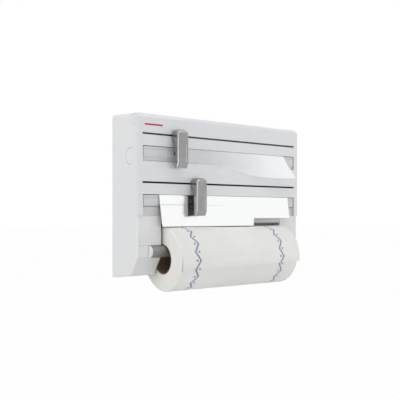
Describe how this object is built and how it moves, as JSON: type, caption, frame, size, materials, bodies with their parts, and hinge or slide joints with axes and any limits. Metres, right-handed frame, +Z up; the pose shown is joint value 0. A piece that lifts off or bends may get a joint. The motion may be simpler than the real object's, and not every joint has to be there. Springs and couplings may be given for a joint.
{
  "type": "wall-mounted roll holder",
  "caption": "Wall-mounted kitchen holder for cling film, foil and a paper roll, with a top-hinged front cover, sliding cutters and a pull-out paper rod.",
  "frame": {"origin": "middle of the flat wall face, on the back of the housing", "axes": "+X to the right seen from the front, +Y into the wall, +Z up"},
  "size_m": [0.35, 0.1319, 0.2899],
  "materials": {
    "housing_plastic": "satin moulded",
    "cover_plastic": "satin moulded",
    "dark_plastic": "matt moulded",
    "grip_plastic": "silver lacquer",
    "rod_plastic": "satin extruded",
    "steel": "ground",
    "cardboard": "raw",
    "paper": "embossed tissue",
    "film": "clear film",
    "foil": "bright foil"
  },
  "bodies": {
    "housing": {"back_panel": "housing_plastic", "left_side_panel": "housing_plastic", "right_side_panel": "housing_plastic", "top_panel": "housing_plastic", "film_trough": "housing_plastic", "foil_trough": "housing_plastic", "recess_wall": "housing_plastic", "apron": "housing_plastic", "left_cheek": "housing_plastic", "right_cheek": "housing_plastic", "hinge_brackets": "housing_plastic", "bracket_screws": "steel", "trough_screws": "steel", "left_button_guide": "housing_plastic", "right_button_guide": "housing_plastic", "left_button_spring": "steel", "right_button_spring": "steel"},
    "cover": {"front_cover": "cover_plastic", "hinge_pins": "steel", "upper_guide_rail": "dark_plastic", "lower_guide_rail": "dark_plastic", "rail_screws": "steel", "upper_press_bar": "cover_plastic", "lower_press_bar": "cover_plastic", "cover_catches": "housing_plastic", "film_sheet": "film", "foil_sheet": "foil"},
    "upper_cutter": {"upper_cutter_grip": "grip_plastic", "upper_cutter_carriage": "dark_plastic", "upper_cutter_blade": "steel"},
    "lower_cutter": {"lower_cutter_grip": "grip_plastic", "lower_cutter_carriage": "dark_plastic", "lower_cutter_blade": "steel"},
    "rod": {"paper_rod": "rod_plastic", "rod_caps": "rod_plastic"},
    "paper": {"paper_core": "cardboard", "paper_roll": "paper", "paper_tail": "paper"},
    "film": {"film_core": "cardboard", "film_roll": "film"},
    "foil": {"foil_core": "cardboard", "foil_roll": "foil"},
    "left_button": {"left_button": "housing_plastic"},
    "right_button": {"right_button": "housing_plastic"}
  },
  "joints": [
    {"name": "cover_hinge", "type": "hinge", "parent": "housing", "child": "cover", "pos_m": [0, -0.072, 0.1195], "axis": [-1, 0, 0], "range_deg": [0, 95]},
    {"name": "upper_cutter_slide", "type": "slide", "parent": "cover", "child": "upper_cutter", "axis": [1, 0, 0], "range_m": [-0.0579, 0.2621]},
    {"name": "lower_cutter_slide", "type": "slide", "parent": "cover", "child": "lower_cutter", "axis": [1, 0, 0], "range_m": [-0.0956, 0.2244]},
    {"name": "rod_pull", "type": "slide", "parent": "housing", "child": "rod", "axis": [0, -1, 0], "range_m": [0, 0.06]},
    {"name": "paper_spin", "type": "hinge", "parent": "rod", "child": "paper", "pos_m": [0, -0.079, -0.1029], "axis": [1, 0, 0], "continuous": true},
    {"name": "film_spin", "type": "hinge", "parent": "housing", "child": "film", "pos_m": [0, -0.038, 0.062], "axis": [1, 0, 0], "continuous": true},
    {"name": "foil_spin", "type": "hinge", "parent": "housing", "child": "foil", "pos_m": [0, -0.038, -0.0082], "axis": [1, 0, 0], "continuous": true},
    {"name": "left_button_press", "type": "slide", "parent": "housing", "child": "left_button", "axis": [1, 0, 0], "range_m": [0, 0.003], "stiffness_N_per_m": 300, "springref_m": -0.004, "deforming": ["left_button_spring"]},
    {"name": "right_button_press", "type": "slide", "parent": "housing", "child": "right_button", "axis": [-1, 0, 0], "range_m": [0, 0.003], "stiffness_N_per_m": 300, "springref_m": -0.004, "deforming": ["right_button_spring"]}
  ]
}
